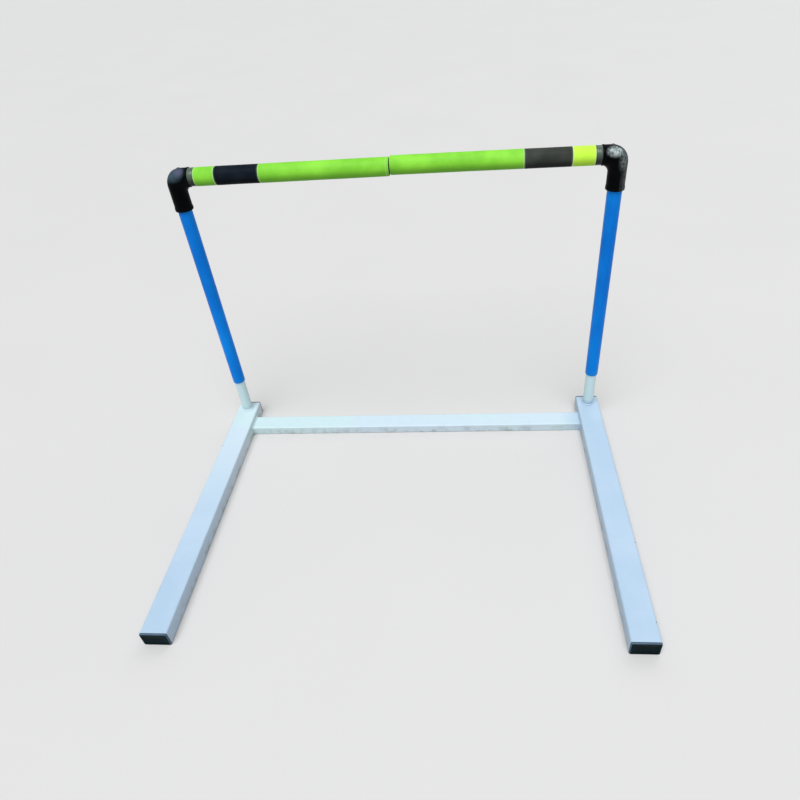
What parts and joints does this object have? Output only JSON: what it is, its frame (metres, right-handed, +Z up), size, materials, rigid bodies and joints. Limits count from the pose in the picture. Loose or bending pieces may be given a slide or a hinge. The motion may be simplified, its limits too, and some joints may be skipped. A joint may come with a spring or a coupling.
{
  "type": "training hurdle",
  "caption": "Free-standing training hurdle: steel foot frame with two posts and a split foam-banded bar whose halves swing open like gates.",
  "frame": {"origin": "on the ground, at the centre of the stand's outline", "axes": "+X along the bar, +Y from the open ends of the feet towards the posts, +Z up"},
  "size_m": [1.06, 0.7508, 0.763],
  "materials": {
    "white_powder_coat": "cool white powder coat, satin",
    "black_plastic": "moulded, satin",
    "natural_nylon": "turned, smooth",
    "blue_plastic": "extruded tube, half gloss",
    "black_elbow": "moulded, satin with a fine grain",
    "dark_steel": "blackened",
    "dark_tube": "extruded tube, gloss",
    "green_foam": "closed-cell foam with a smooth skin, satin",
    "black_foam": "closed-cell foam with a smooth skin, satin"
  },
  "bodies": {
    "base": {"cross_beam": "white_powder_coat", "left_foot_tube": "white_powder_coat", "left_post": "white_powder_coat", "left_post_weld": "white_powder_coat", "left_beam_weld": "white_powder_coat", "left_front_cap": "black_plastic", "left_rear_cap": "black_plastic", "left_pivot_plug": "natural_nylon", "right_foot_tube": "white_powder_coat", "right_post": "white_powder_coat", "right_post_weld": "white_powder_coat", "right_beam_weld": "white_powder_coat", "right_front_cap": "black_plastic", "right_rear_cap": "black_plastic", "right_pivot_plug": "natural_nylon"},
    "left_arm": {"left_sleeve": "blue_plastic", "left_elbow": "black_elbow", "left_elbow_screw": "dark_steel", "left_bar_tube": "dark_tube", "left_collar": "dark_tube", "left_outer_band": "green_foam", "left_black_band": "black_foam", "left_long_band": "green_foam", "left_bar_plug": "black_plastic"},
    "right_arm": {"right_sleeve": "blue_plastic", "right_elbow": "black_elbow", "right_elbow_screw": "dark_steel", "right_bar_tube": "dark_tube", "right_collar": "dark_tube", "right_outer_band": "green_foam", "right_black_band": "black_foam", "right_long_band": "green_foam", "right_bar_plug": "black_plastic"}
  },
  "joints": [
    {"name": "left_arm_swing", "type": "hinge", "parent": "base", "child": "left_arm", "pos_m": [-0.5, 0.347, 0.7], "axis": [0, 0, 1], "continuous": true},
    {"name": "right_arm_swing", "type": "hinge", "parent": "base", "child": "right_arm", "pos_m": [0.5, 0.347, 0.7], "axis": [0, 0, 1], "continuous": true}
  ]
}
